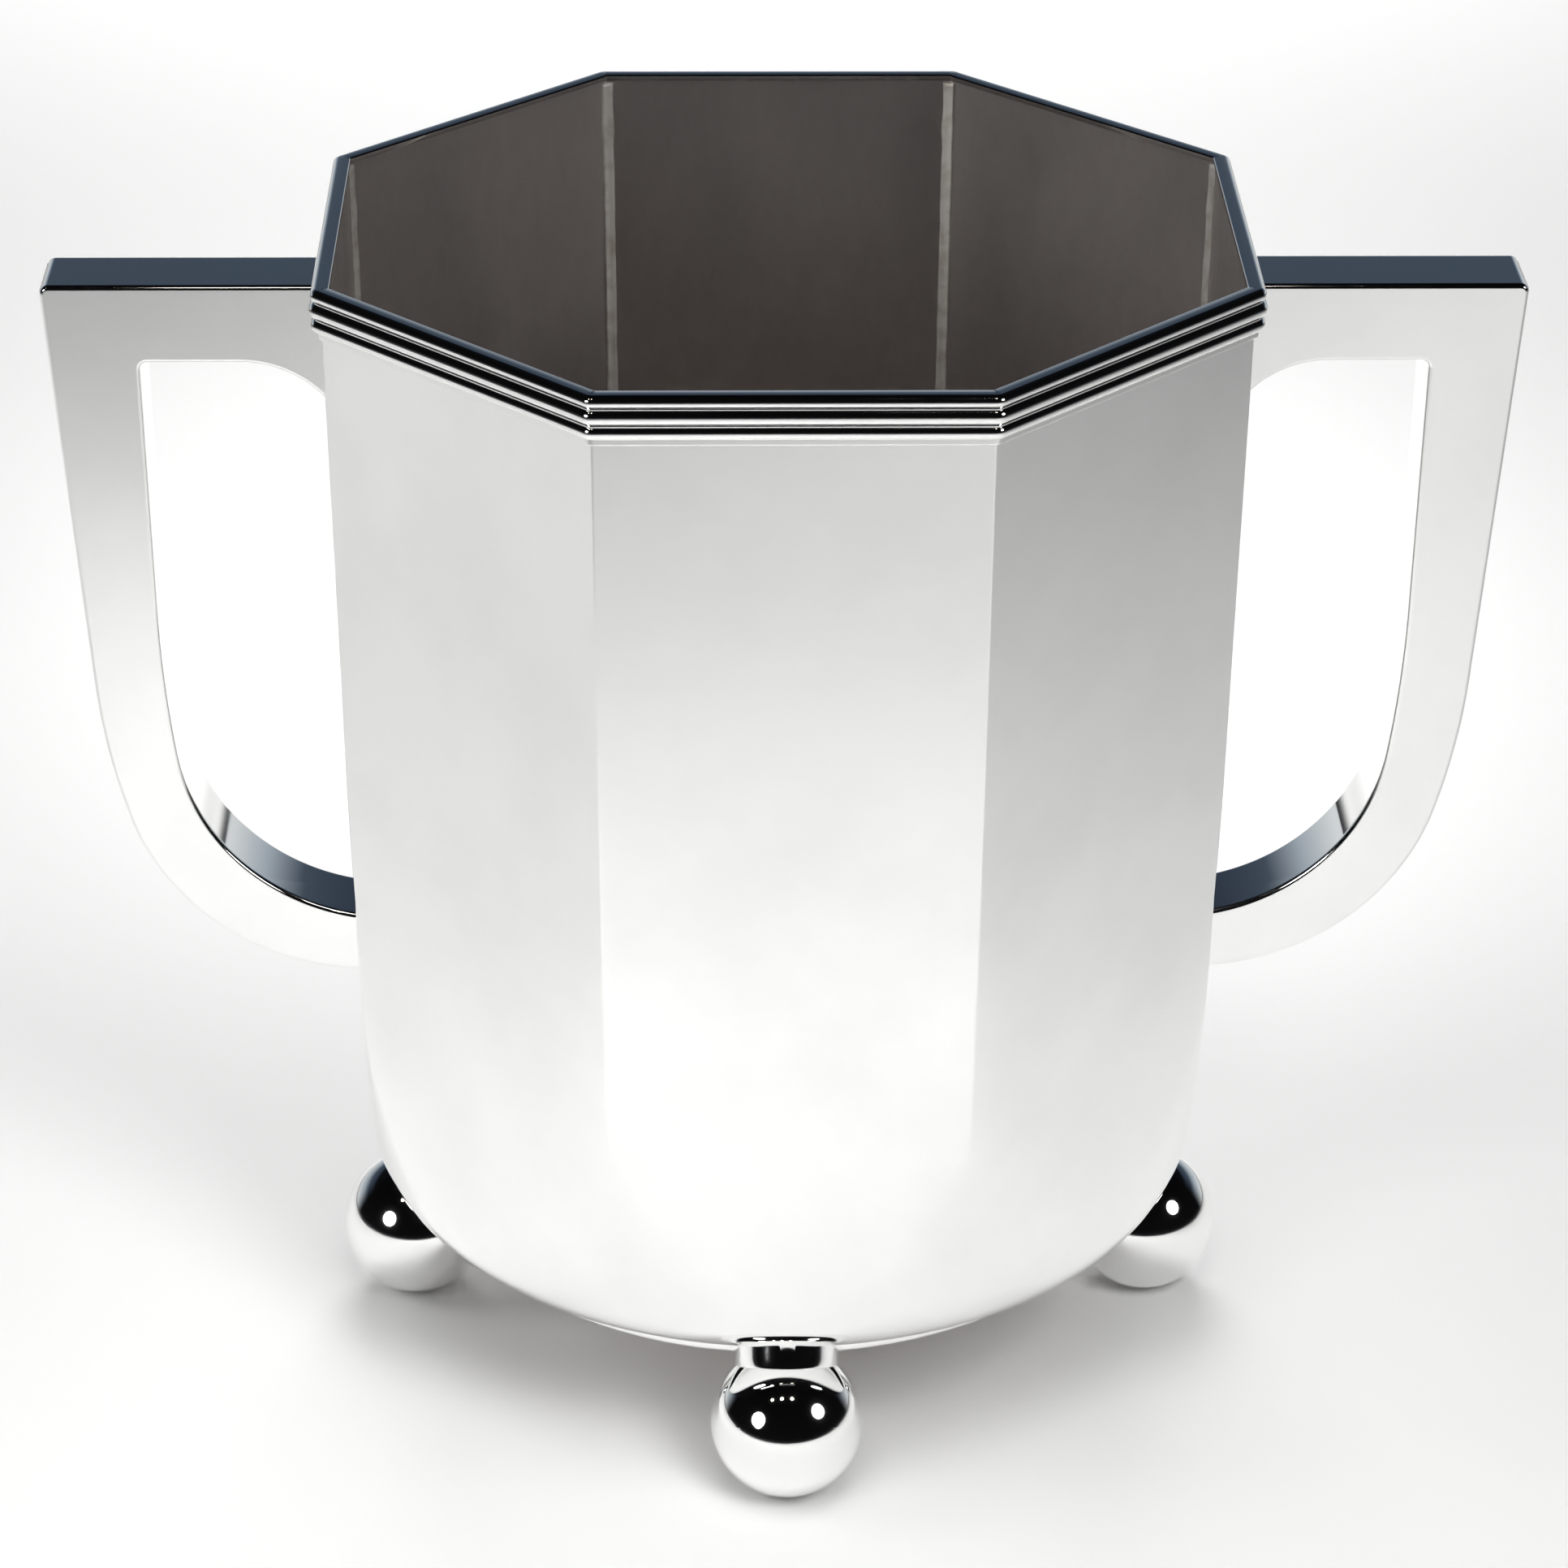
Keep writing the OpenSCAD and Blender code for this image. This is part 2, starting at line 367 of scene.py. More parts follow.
@dataclass(frozen=True)
class PolishedSilver:
    """Sterling silver sheet, soldered up and mirror polished by hand on a mop.

    To the eye it is a mirror, a little warm, whose reflections waver slowly where the sheet isn't
    quite flat, with a faint cloudy bloom and a few hair scratches.
    """

    name: str = "mirror_polished_sterling_silver"
    bright: str = "FCFCFB"
    bloom: str = "F6F6F5"
    roughness: float = 0.035
    bloom_roughness: float = 0.085
    bloom_width: float = 38 * MM
    waver_width: float = 46 * MM
    waver_height: float = 0.035 * MM
    scratch_pitch: float = 2.4 * MM
    scratch_length: float = 40 * MM
    scratch_depth: float = 0.0016 * MM

    def make(self) -> bpy.types.Material:
        """Builds the material.

        Returns:
            A material that reads Object coordinates.
        """
        material, tree, place = start_finish(self.name)
        # The bloom: wide, soft clouds where polish and fingers have left a haze.
        cloud = add_node(
            tree, "ShaderNodeTexNoise",
            {"Vector": place, "Scale": 1 / self.bloom_width, "Detail": 4.0, "Roughness": 0.55},
        )
        tint = set_stops(
            add_node(tree, "ShaderNodeValToRGB", {"Fac": cloud.outputs["Fac"]}),
            [(0.38, linear(self.bright)), (0.68, linear(self.bloom))],
        )
        haze = add_node(
            tree, "ShaderNodeMapRange",
            {"Value": cloud.outputs["Fac"], "From Min": 0.4, "From Max": 0.72,
             "To Min": self.roughness, "To Max": self.bloom_roughness},
        )
        # The waver: slow swells left by the hammer and the planishing wheel.
        swell = add_node(
            tree, "ShaderNodeTexNoise",
            {"Vector": place, "Scale": 1 / self.waver_width, "Detail": 1.0, "Roughness": 0.4},
        )
        waver = add_node(
            tree, "ShaderNodeBump",
            {"Height": swell.outputs["Fac"], "Distance": self.waver_height, "Strength": 1.0},
        )
        # Hair scratches: thin, long cells turned off the upright, drawn coarser than real so that they show.
        turned = add_node(
            tree, "ShaderNodeMapping",
            {"Vector": place, "Rotation": (0.35, 0.5, 0.2),
             "Scale": (1 / self.scratch_pitch, 1 / self.scratch_pitch, 1 / self.scratch_length)},
        )
        cell = add_node(
            tree, "ShaderNodeTexVoronoi",
            {"Vector": turned.outputs[0], "Scale": 1.0, "Randomness": 1.0}, feature="F1",
        )
        hair = set_stops(
            add_node(tree, "ShaderNodeValToRGB", {"Fac": cell.outputs["Distance"]}),
            [(0.0, (0, 0, 0, 1)), (0.05, (1, 1, 1, 1))],
        )
        scratched = add_node(
            tree, "ShaderNodeBump",
            {"Height": hair.outputs["Color"], "Distance": self.scratch_depth, "Strength": 1.0,
             "Normal": waver.outputs[0]},
        )
        end_finish(tree, tint, haze.outputs["Result"], scratched)
        return material


@dataclass(frozen=True)
class SatinSilver:
    """Sterling silver sheet left from the scratch brush and dulled by ice water.

    To the eye it is a soft, warm grey metal that blurs what it reflects, with faint upright brush
    marks and cloudy stains.
    """

    name: str = "scratch_brushed_sterling_silver"
    clean: str = "F3EFED"
    dull: str = "DED7D3"
    roughness: float = 0.34
    dull_roughness: float = 0.46
    stain_width: float = 34 * MM
    brush_pitch: float = 0.9 * MM
    brush_length: float = 60 * MM
    brush_depth: float = 0.004 * MM

    def make(self) -> bpy.types.Material:
        """Builds the material.

        Returns:
            A material that reads Object coordinates.
        """
        material, tree, place = start_finish(self.name)
        # The stains: clouds drawn out upright by melted ice running down.
        stretched = add_node(tree, "ShaderNodeMapping", {"Vector": place, "Scale": (1.0, 1.0, 0.45)})
        stain = add_node(
            tree, "ShaderNodeTexNoise",
            {"Vector": stretched.outputs[0], "Scale": 1 / self.stain_width, "Detail": 5.0, "Roughness": 0.6},
        )
        tint = set_stops(
            add_node(tree, "ShaderNodeValToRGB", {"Fac": stain.outputs["Fac"]}),
            [(0.35, linear(self.dull)), (0.65, linear(self.clean))],
        )
        blur = add_node(
            tree, "ShaderNodeMapRange",
            {"Value": stain.outputs["Fac"], "From Min": 0.35, "From Max": 0.65,
             "To Min": self.dull_roughness, "To Max": self.roughness},
        )
        # Upright brush marks, drawn coarser than a brush's wires so that they show.
        brushed = add_node(
            tree, "ShaderNodeMapping",
            {"Vector": place,
             "Scale": (1 / self.brush_pitch, 1 / self.brush_pitch, 1 / self.brush_length)},
        )
        mark = add_node(
            tree, "ShaderNodeTexNoise",
            {"Vector": brushed.outputs[0], "Scale": 1.0, "Detail": 3.0, "Roughness": 0.6},
        )
        marked = add_node(
            tree, "ShaderNodeBump",
            {"Height": mark.outputs["Fac"], "Distance": self.brush_depth, "Strength": 1.0},
        )
        end_finish(tree, tint, blur.outputs["Result"], marked)
        return material


@dataclass(frozen=True)
class SilverSolder:
    """Hard silver solder, run into a corner and rubbed down.

    To the eye it is a pale, slightly lumpy line that catches more light than the sheet beside it.
    """

    name: str = "rubbed_down_silver_solder"
    light: str = "FAF7F2"
    dark: str = "E4DDD3"
    roughness: float = 0.7
    lump_width: float = 5 * MM
    lump_height: float = 0.02 * MM

    def make(self) -> bpy.types.Material:
        """Builds the material.

        Returns:
            A material that reads Object coordinates.
        """
        material, tree, place = start_finish(self.name)
        # The lumps: where the file and the stone left the run uneven, paler on the crests.
        lump = add_node(
            tree, "ShaderNodeTexNoise",
            {"Vector": place, "Scale": 1 / self.lump_width, "Detail": 3.0, "Roughness": 0.5},
        )
        tint = set_stops(
            add_node(tree, "ShaderNodeValToRGB", {"Fac": lump.outputs["Fac"]}),
            [(0.3, linear(self.dark)), (0.55, linear(self.light))],
        )
        lumpy = add_node(
            tree, "ShaderNodeBump",
            {"Height": lump.outputs["Fac"], "Distance": self.lump_height, "Strength": 1.0},
        )
        end_finish(tree, tint, self.roughness, lumpy)
        return material


@dataclass(frozen=True)
class Finishes:
    """The materials that the pieces share."""

    polished: bpy.types.Material
    satin: bpy.types.Material
    solder: bpy.types.Material


# ---------------------------------------------------------------- body


@dataclass(frozen=True)
class Plan:
    """The eight-sided plan, whose corners are rounded about fixed centres."""

    wall_a: float = 97.8 * MM  # axis to wall, just under the rim
    wall_top: float = 257 * MM
    rim_top: float = 268 * MM
    lean: float = math.radians(0.96)
    crease_r: float = 0.9 * MM  # rounding of the wall's outer creases
    flat_share: float = 0.72  # how much of the across value is the flat

    def apothem(self, height: float) -> float:
        """Distance from the axis to the wall's outer face at a height."""
        return self.wall_a - (self.wall_top - height) * math.tan(self.lean)

    def point(self, apothem: float, across: float, crease_r: float) -> tuple[float, float]:
        """A point on the right-hand side.

        Args:
            apothem: Distance from the axis to the flat.
            across: -1 at one mitre, 1 at the next.
            crease_r: Rounding at the corner, for this distance.

        Returns:
            Its x and y.
        """
        half_flat = (apothem - crease_r) * math.tan(HALF_SIDE)
        share = abs(across)
        sign = math.copysign(1.0, across)
        if share <= self.flat_share:
            return apothem, sign * half_flat * share / self.flat_share
        turn = HALF_SIDE * (share - self.flat_share) / (1 - self.flat_share)
        return apothem - crease_r * (1 - math.cos(turn)), sign * (half_flat + crease_r * math.sin(turn))


@dataclass
class Wall:
    """The eight panels, flat above and curled in and under at the foot."""

    plan: Plan
    sheet: float = 1.4 * MM
    panel_top: float = 266.7 * MM
    curl_z: float = 123 * MM
    underside_z: float = 33.6 * MM
    large_r: float = 350 * MM
    small_r: float = 19 * MM
    inner_crease_r: float = 0.4 * MM
    flare: float = math.radians(4.0)  # how fast the bowl opens out above the curl
    facet_keep: float = 0.3  # how much of the eight-sided plan the top of the bowl keeps
    blend: float = 2.0 * MM  # width over which the flat melts into the bowl
    inner_blend: float = 1.0 * MM
    waver: float = 0.05 * MM  # how far the sheet wanders from flat
    waver_width: float = 62 * MM
    flat_steps: int = 22
    crease_steps: int = 7
    upper_steps: int = 36
    large_steps: int = 40
    small_steps: int = 40

    def __post_init__(self) -> None:
        """Works out the bowl's outline from its radii."""
        self.corner_r = self.plan.apothem(self.curl_z) / math.cos(HALF_SIDE)
        drop = self.curl_z - self.underside_z - self.small_r
        self.join = math.asin(drop / (self.large_r - self.small_r))
        reach = (self.large_r - self.small_r) * math.cos(self.join)
        self.floor_r = self.corner_r - self.large_r + reach

    def bowl_outline(self, inset: float) -> list[tuple[float, float, float]]:
        """Outline of the bowl that rounds the corners away, from the top down.

        Args:
            inset: Distance inside the outer face.

        Returns:
            (radius, height, how far down the bowl from 0 to 1) of each point.
        """
        rows = []
        for i in range(self.upper_steps):
            z = self.panel_top + (self.curl_z - self.panel_top) * i / self.upper_steps
            rows.append((self.corner_r + (z - self.curl_z) * math.tan(self.flare) - inset, z, 0.0))
        centre = (self.corner_r - self.large_r, self.curl_z)
        for x, z in arc(centre, self.large_r - inset, 0, -math.degrees(self.join), self.large_steps):
            rows.append((x, z, (self.curl_z - z) / (self.curl_z - self.underside_z)))
        centre = (self.floor_r, self.underside_z + self.small_r)
        small = arc(centre, self.small_r - inset, -math.degrees(self.join), -90, self.small_steps)
        for x, z in small[1:]:
            rows.append((x, z, min(1.0, (self.curl_z - z) / (self.curl_z - self.underside_z))))
        return rows

    def across_values(self) -> list[float]:
        """Spreads the columns of a panel, closer together over the creases.

        Returns:
            Across values from -1 at one mitre to 1 at the next.
        """
        flat = self.plan.flat_share
        half = [flat * i / self.flat_steps for i in range(self.flat_steps + 1)]
        half += [flat + (1 - flat) * (i + 1) / self.crease_steps for i in range(self.crease_steps)]
        return [-v for v in reversed(half[1:])] + half

    def skin(self, inset: float, turn: float) -> np.ndarray:
        """One face of a panel.

        Args:
            inset: 0 for the outer face, or the sheet's thickness for the inner one.
            turn: Angle of the side about Z.

        Returns:
            Points as an array of rows down by columns across by 3.
        """
        crease_r = self.inner_crease_r if inset else self.plan.crease_r
        blend = self.inner_blend if inset else self.blend
        spin = Matrix.Rotation(turn, 3, "Z")
        rows = []
        for radius, z, down in self.bowl_outline(inset):
            apothem = self.plan.apothem(z) - inset
            corner = apothem / math.cos(HALF_SIDE)
            keep = self.facet_keep * (1 - down) ** 2
            row = []
            for across in self.across_values():
                x, y = self.plan.point(apothem, across, crease_r)
                reach = math.hypot(x, y)
                bowl = radius * (1 + keep * (reach / corner - 1))
                gap = max(blend - abs(reach - bowl), 0) / blend
                rho = min(reach, bowl) - gap * gap * blend / 4
                point = spin @ Vector((x * rho / reach, y * rho / reach, z))
                if not inset:
                    swell = noise.noise(point / self.waver_width)
                    outwards = Vector((point.x, point.y, 0)).normalized()
                    point += outwards * self.waver * swell
                row.append(point)
            rows.append(row)
        return np.array(rows)

    def normals(self, skin: np.ndarray, turn: float, outwards: bool) -> np.ndarray:
        """Normals of a skin, which agree with the next panel's along each mitre.

        Args:
            skin: The skin's points.
            turn: Angle of the side about Z.
            outwards: Whether they point out of the bucket.

        Returns:
            Unit vectors, in the same order as the points.
        """
        down = np.gradient(skin, axis=0)
        across = np.gradient(skin, axis=1)
        normal = np.cross(down, across)
        if not outwards:
            normal = -normal
        for column, angle in ((0, turn - HALF_SIDE), (-1, turn + HALF_SIDE)):
            plane = np.array((-math.sin(angle), math.cos(angle), 0))
            normal[:, column] -= np.outer(normal[:, column] @ plane, plane)
        return normal / np.linalg.norm(normal, axis=2, keepdims=True)

    def build(self, finishes: Finishes) -> list[bpy.types.Object]:
        """Args:
            finishes: The shared materials; the outside is polished and the inside satin.

        Returns:
            The panels.
        """
        panels = []
        for k, side in enumerate(SIDES):
            turn = k * SIDE_TURN
            outer, inner = self.skin(0.0, turn), self.skin(self.sheet, turn)
            down, across = outer.shape[:2]
            count = down * across
            cells = [(i, j) for i in range(down - 1) for j in range(across - 1)]
            corners = [(i * across + j, (i + 1) * across + j) for i, j in cells]
            faces = [(a, b, b + 1, a + 1) for a, b in corners]
            faces += [(count + a, count + a + 1, count + b + 1, count + b) for a, b in corners]
            loop = list(range(across))
            loop += [i * across + across - 1 for i in range(1, down)]
            loop += [count - 1 - j for j in range(1, across)]
            loop += [i * across for i in range(down - 2, 0, -1)]
            for a, b in zip(loop, loop[1:] + loop[:1]):
                faces.append((a, b, count + b, count + a))
            mesh = bpy.data.meshes.new(f"wall_{side}")
            mesh.from_pydata(np.concatenate([outer, inner]).reshape(-1, 3).tolist(), [], faces)
            mesh.materials.append(finishes.polished)
            mesh.materials.append(finishes.satin)
            slots = [0] * len(cells) + [1] * len(cells) + [0] * len(loop)
            mesh.polygons.foreach_set("material_index", slots)
            mesh.polygons.foreach_set("use_smooth", [True] * len(faces))
            mesh.update()
            normals = [self.normals(outer, turn, True), self.normals(inner, turn, False)]
            mesh.normals_split_custom_set_from_vertices(np.concatenate(normals).reshape(-1, 3).tolist())
            panel = add_object(f"wall_{side}", mesh)
            panels.append(keep_piece(panel, Slot.POLISHED, f"wall_panel_{side}"))
        return panels


@dataclass
class CornerSeams:
    """Solder runs inside the eight corners, one strip repeated round the axis."""

    plan: Plan
    wall: Wall
    leg: float = 1.5 * MM  # width of the run along each panel
    top: float = 266 * MM
    bottom: float = 126 * MM
    steps: int = 150
    arch: tuple[float, ...] = (-1.0, -0.5, 0.0, 0.5, 1.0)
    sag: float = 0.22 * MM  # how far the middle of the run sinks towards the corner
    wander: float = 0.16  # how much the width changes along the run
    wander_length: float = 6 * MM
    rise: float = 0.12  # extra height of the run, as a share of its width
    back: float = 0.5 * MM  # how far its back lies in the sheet
    taper_steps: int = 8  # steps over which it runs out at the bottom
    seed: int = 7

    def strip(self) -> bpy.types.Object:
        """Makes the run in one corner, with its back in the sheet.

        Returns:
            The run, upright at a corner that lies on the X axis.
        """
        inner_corner = 1 / math.cos(HALF_SIDE)
        offset = Vector((self.seed, 0, 0))
        points = []
        for i in range(self.steps + 1):
            z = self.top + (self.bottom - self.top) * i / self.steps
            swell = noise.noise(offset + Vector((0, 0, z / self.wander_length)))
            width = self.leg * (1 + self.wander * swell)
            width *= min(1.0, (self.steps - i + 1) / self.taper_steps)
            corner = (self.plan.apothem(z) - self.wall.sheet) * inner_corner
            for side in self.arch:
                lift = width * (math.sin(HALF_SIDE) + self.rise) - self.sag * (1 - side * side)
                points.append((corner - lift, side * width * math.cos(HALF_SIDE), z))
            points.append((corner + self.back, 0, z))
        row = len(self.arch) + 1
        faces = []
        for i in range(self.steps):
            for j in range(row):
                a, b = i * row + j, i * row + (j + 1) % row
                faces.append((a, a + row, b + row, b))
        faces.append(tuple(range(row)))
        faces.append(tuple(self.steps * row + j for j in reversed(range(row))))
        mesh = bpy.data.meshes.new("corner_solder")
        mesh.from_pydata(points, [], faces)
        return add_object("corner_solder", mesh)

    def tree(self) -> bpy.types.NodeTree:
        """Repeats a shape round the Z axis.

        Returns:
            A tree with a count and a first angle.
        """
        tree, start = new_tree(
            "repeat_round",
            {"Count": ("NodeSocketInt", len(SIDES)), "First Turn": ("NodeSocketFloat", 0.0)},
        )
        places = add_node(
            tree, "GeometryNodeMeshLine", {"Count": start.outputs["Count"], "Offset": (0.0, 0.0, 0.0)}
        )
        index = add_node(tree, "GeometryNodeInputIndex").outputs[0]
        known = {"index": index, "count": start.outputs["Count"], "first": start.outputs["First Turn"]}
        calculate(tree, known, [
            ("share", "DIVIDE", "index", "count"),
            ("turn", "MULTIPLY_ADD", "share", math.tau, "first"),
        ])
        spin = add_node(tree, "ShaderNodeCombineXYZ", {"Z": known["turn"]})
        copies = add_node(
            tree, "GeometryNodeInstanceOnPoints",
            {"Points": places.outputs[0], "Instance": start.outputs["Geometry"], "Rotation": spin.outputs[0]},
        )
        end_tree(tree, start, copies.outputs[0])
        return tree

    def build(self, finishes: Finishes) -> bpy.types.Object:
        """Args:
            finishes: The shared materials.

        Returns:
            The eight seams as one piece.
        """
        seams = self.strip()
        run_tree(seams, self.tree(), finishes.solder, Count=len(SIDES), First_Turn=HALF_SIDE)
        return keep_piece(seams, Slot.SOLDER, "corner_seams")


@dataclass
class RimMoulding:
    """The reeded moulding, a straight drawn length for each side, mitred at the corners."""

    plan: Plan
    cap: float = 1.3 * MM
    lip_in: float = 1.8 * MM  # how far the lip stands inside the wall's face
    backing: float = 1.0 * MM
    edge_r: float = 0.35 * MM
    reeds: tuple[tuple[float, float, float], ...] = (
        (98.55 * MM, 266.54 * MM, 1.45 * MM),
        (98.45 * MM, 263.345 * MM, 1.9 * MM),
        (98.4 * MM, 259.95 * MM, 1.6 * MM),
    )  # distance out, height and radius of each reed, from the top
    over_wall: float = 0.2 * MM  # how far its back stands inside the wall's face
    edge_steps: int = 4
    reed_steps: int = 22
    path_steps: int = 90

    def outline(self) -> list[tuple[float, float]]:
        """Section of the moulding, clockwise from the inside of the lip.

        Returns:
            (distance from the axis, height) of each point.
        """
        top = self.plan.rim_top
        under_cap = top - self.cap
        inner = self.plan.wall_a - self.lip_in
        points = [(inner, under_cap)]
        points += arc((inner + self.edge_r, top - self.edge_r), self.edge_r, 180, 90, self.edge_steps)
        last = 90.0
        face = self.plan.wall_a + self.backing
        for i, (x, z, radius) in enumerate(self.reeds):
            if i + 1 < len(self.reeds):
                next_x, next_z, next_r = self.reeds[i + 1]
                gap = math.hypot(next_x - x, next_z - z)
                towards = math.degrees(math.atan2(next_z - z, next_x - x))
                spread = (gap * gap + radius * radius - next_r * next_r) / (2 * gap * radius)
                end = towards + math.degrees(math.acos(spread))
                spread = (gap * gap + next_r * next_r - radius * radius) / (2 * gap * next_r)
                start = towards + 180 - math.degrees(math.acos(spread))
            else:
                end = -math.degrees(math.acos((face - x) / radius))
                start = end
            points += arc((x, z), radius, last, end, self.reed_steps)
            last = start
        bottom = self.plan.wall_top
        points += [(face, bottom + self.edge_r), (face - self.edge_r, bottom)]
        back = self.plan.wall_a - self.over_wall
        points += [(back, bottom), (back, under_cap)]
        return points

    def tree(self) -> bpy.types.NodeTree:
        """Sweeps the section along one side and rounds it into the mitres.

        Returns:
            A tree whose path runs from -1 at one mitre to 1 at the next.
        """
        tree, start = new_tree(
            "mitred_moulding",
            {
                "Wall Distance": ("NodeSocketFloat", self.plan.wall_a),
                "Crease Radius": ("NodeSocketFloat", self.plan.crease_r),
                "Flat Share": ("NodeSocketFloat", self.plan.flat_share),
                "Half Side": ("NodeSocketFloat", HALF_SIDE),
                "Steps": ("NodeSocketInt", self.path_steps),
                "Turn": ("NodeSocketFloat", 0.0),
            },
        )
        section = add_node(tree, "GeometryNodeMeshToCurve", {0: start.outputs["Geometry"]})
        line = add_node(
            tree, "GeometryNodeCurvePrimitiveLine", {"Start": (0.0, -1.0, 0.0), "End": (0.0, 1.0, 0.0)}
        )
        path = add_node(
            tree, "GeometryNodeResampleCurve",
            {"Curve": line.outputs[0], "Count": start.outputs["Steps"]},
        )
        swept = add_node(
            tree, "GeometryNodeCurveToMesh",
            {"Curve": path.outputs[0], "Profile Curve": section.outputs[0], "Fill Caps": True},
        )
        mitred = move_points(tree, start, swept.outputs[0], [
            ("share", "ABSOLUTE", "y"),
            ("sign", "SIGN", "y"),
            ("centre", "SUBTRACT", "Wall Distance", "Crease Radius"),
            ("radius", "SUBTRACT", "x", "centre"),
            ("slope", "TANGENT", "Half Side"),
            ("half_flat", "MULTIPLY", "centre", "slope"),
            ("on_flat", "DIVIDE", "share", "Flat Share"),
            ("on_flat", "MINIMUM", "on_flat", 1.0),
            ("left_over", "SUBTRACT", 1.0, "Flat Share"),
            ("past_flat", "SUBTRACT", "share", "Flat Share"),
            ("past_flat", "MAXIMUM", "past_flat", 0.0),
            ("past_flat", "DIVIDE", "past_flat", "left_over"),
            ("angle", "MULTIPLY", "past_flat", "Half Side"),
            ("cosine", "COSINE", "angle"),
            ("sine", "SINE", "angle"),
            ("x", "MULTIPLY_ADD", "radius", "cosine", "centre"),
            ("run", "MULTIPLY", "half_flat", "on_flat"),
            ("y", "MULTIPLY_ADD", "radius", "sine", "run"),
            ("y", "MULTIPLY", "y", "sign"),
        ])
        end_tree(tree, start, turn_shape(tree, start, mitred))
        return tree

    def build(self, finishes: Finishes) -> None:
        """Args:
            finishes: The shared materials.
        """
        tree = self.tree()
        for k, side in enumerate(SIDES):
            length = outline_object(f"rim_{side}", self.outline(), closed=True)
            run_tree(length, tree, finishes.polished, Turn=k * SIDE_TURN)
            length.data.set_sharp_from_angle(angle=SHARP_SHEET)
            keep_piece(length, Slot.POLISHED, f"rim_moulding_{side}")


# ---------------------------------------------------------------- turned pieces


def turned_tree() -> bpy.types.NodeTree:
    """Carries an outline round an axis, then tilts the axis and sets it in place.

    Returns:
        A tree whose outlines are measured outwards from the circle of Path Radius.
    """
    lengths = ("Tilt", "Distance Out", "Height", "Turn", "Lowest", "Seat Radius", "Seat Curve")
    tree, start = new_tree(
        "turned_piece",
        {
            "Steps": ("NodeSocketInt", 96),
            "Path Radius": ("NodeSocketFloat", SPIN_RADIUS),
            "Seat Height": ("NodeSocketFloat", 1.0),
            **{label: ("NodeSocketFloat", 0.0) for label in lengths},
        },
    )
    section = add_node(tree, "GeometryNodeMeshToCurve", {0: start.outputs["Geometry"]})
    circle = add_node(
        tree, "GeometryNodeCurvePrimitiveCircle",
        {"Resolution": start.outputs["Steps"], "Radius": start.outputs["Path Radius"]},
    )
    swept = add_node(
        tree, "GeometryNodeCurveToMesh", {"Curve": circle.outputs[0], "Profile Curve": section.outputs[0]}
    )
    lean = add_node(tree, "ShaderNodeCombineXYZ", {"Y": start.outputs["Tilt"]})
    out = add_node(
        tree, "ShaderNodeCombineXYZ", {"X": start.outputs["Distance Out"], "Z": start.outputs["Height"]}
    )
    leaning = add_node(
        tree, "GeometryNodeTransform",
        {"Geometry": swept.outputs[0], "Rotation": lean.outputs[0], "Translation": out.outputs[0]},
    )
    # Whatever would reach below the table, or through the curl of the wall, is held back.
    held = move_points(tree, start, turn_shape(tree, start, leaning.outputs[0]), [
        # Worn flat on the table; r is how far each point lies from the bucket's axis.
        ("z", "MAXIMUM", "z", "Lowest"),
        ("xx", "MULTIPLY", "x", "x"),
        ("rr", "MULTIPLY_ADD", "y", "y", "xx"),
        ("r", "SQRT", "rr"),
        ("r", "MAXIMUM", "r", NOT_ZERO),
        # Pushed away from the centre line of the curl until it is no nearer than the seat.
        ("out", "SUBTRACT", "r", "Seat Radius"),
        ("past", "MAXIMUM", "out", 0.0),
        ("short", "MINIMUM", "out", 0.0),
        ("down", "SUBTRACT", "z", "Seat Height"),
        ("downdown", "MULTIPLY", "down", "down"),
        ("away", "MULTIPLY_ADD", "past", "past", "downdown"),
        ("away", "SQRT", "away"),
        ("away", "MAXIMUM", "away", NOT_ZERO),
        ("push", "DIVIDE", "Seat Curve", "away"),
        ("push", "MAXIMUM", "push", 1.0),
        ("z", "MULTIPLY_ADD", "down", "push", "Seat Height"),
        ("new_r", "MULTIPLY_ADD", "past", "push", "Seat Radius"),
        ("new_r", "ADD", "new_r", "short"),
        ("grow", "DIVIDE", "new_r", "r"),
        ("x", "MULTIPLY", "x", "grow"),
        ("y", "MULTIPLY", "y", "grow"),
    ])
    end_tree(tree, start, held)
    return tree


def turn_piece(
    name: str, points: list[tuple[float, float]], closed: bool, tree: bpy.types.NodeTree,
    material: bpy.types.Material, **sizes,
) -> bpy.types.Object:
    """Turns an outline into a piece.

    Args:
        name: The piece's name.
        points: (radius, height), clockwise.
        closed: Whether the outline closes on itself, as a ring's does.
        tree: The turning tree.
        material: The piece's material.
        **sizes: Values of the tree's named inputs.

    Returns:
        The piece, in place.
    """
    obj = outline_object(name, [(r - SPIN_RADIUS, z) for r, z in points], closed)
    run_tree(obj, tree, material, **sizes)
    obj.data.set_sharp_from_angle(angle=SHARP_TURNED)
    return obj


